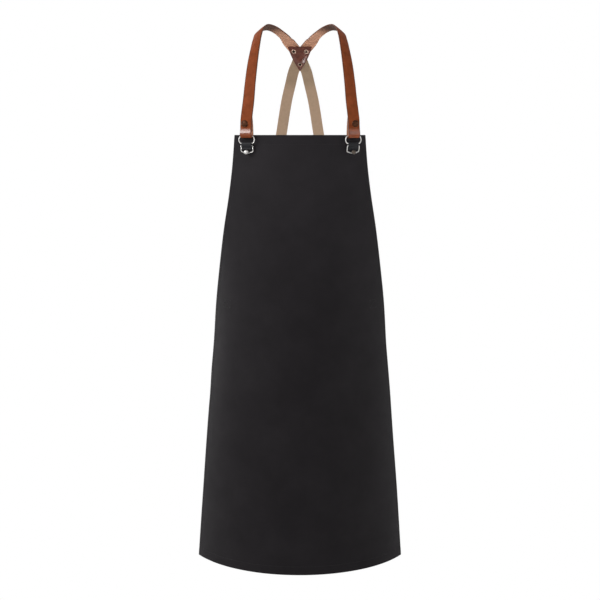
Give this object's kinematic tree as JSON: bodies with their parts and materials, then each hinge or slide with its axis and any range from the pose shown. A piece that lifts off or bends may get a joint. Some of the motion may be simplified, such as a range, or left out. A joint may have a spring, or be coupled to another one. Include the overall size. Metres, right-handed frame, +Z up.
{
  "type": "bib apron",
  "caption": "Long black A-line bib apron in its worn shape, hung by ring clips on tan leather shoulder straps that meet at a riveted back patch above beige back straps.",
  "frame": {"origin": "midway between the shoulders, level with the undersides of the straps where they pass over them", "axes": "+Z up, the front faces -Y, +X to the right as seen from the front"},
  "size_m": [0.438, 0.2668, 1.1246],
  "materials": {
    "black_waxed_twill": "waxed cotton twill, matt black",
    "tan_leather": "smooth tan grain outside, paler flesh side inside",
    "beige_webbing": "flat woven cotton webbing",
    "brown_leather": "glossy dark brown leather",
    "black_leather": "matt black leather",
    "nickel": "polished nickel plate",
    "dark_brass": "antiqued dark brass",
    "aged_copper": "dulled copper plate with a bright worn rim"
  },
  "bodies": {
    "root": {"apron_panel": "black_waxed_twill", "shoulder_strap_left": "tan_leather", "shoulder_strap_right": "tan_leather", "back_strap_left": "beige_webbing", "back_strap_right": "beige_webbing", "cross_patch": "brown_leather", "patch_rivet_1": "aged_copper", "patch_rivet_2": "aged_copper", "patch_rivet_3": "aged_copper", "strap_snap_left": "dark_brass", "strap_snap_right": "dark_brass", "strap_ring_left": "nickel", "strap_ring_right": "nickel", "link_tab_left": "black_leather", "link_tab_right": "black_leather", "hook_loop_left": "nickel", "hook_loop_right": "nickel", "bib_stud_left": "nickel", "bib_stud_right": "nickel"}
  },
  "joints": []
}
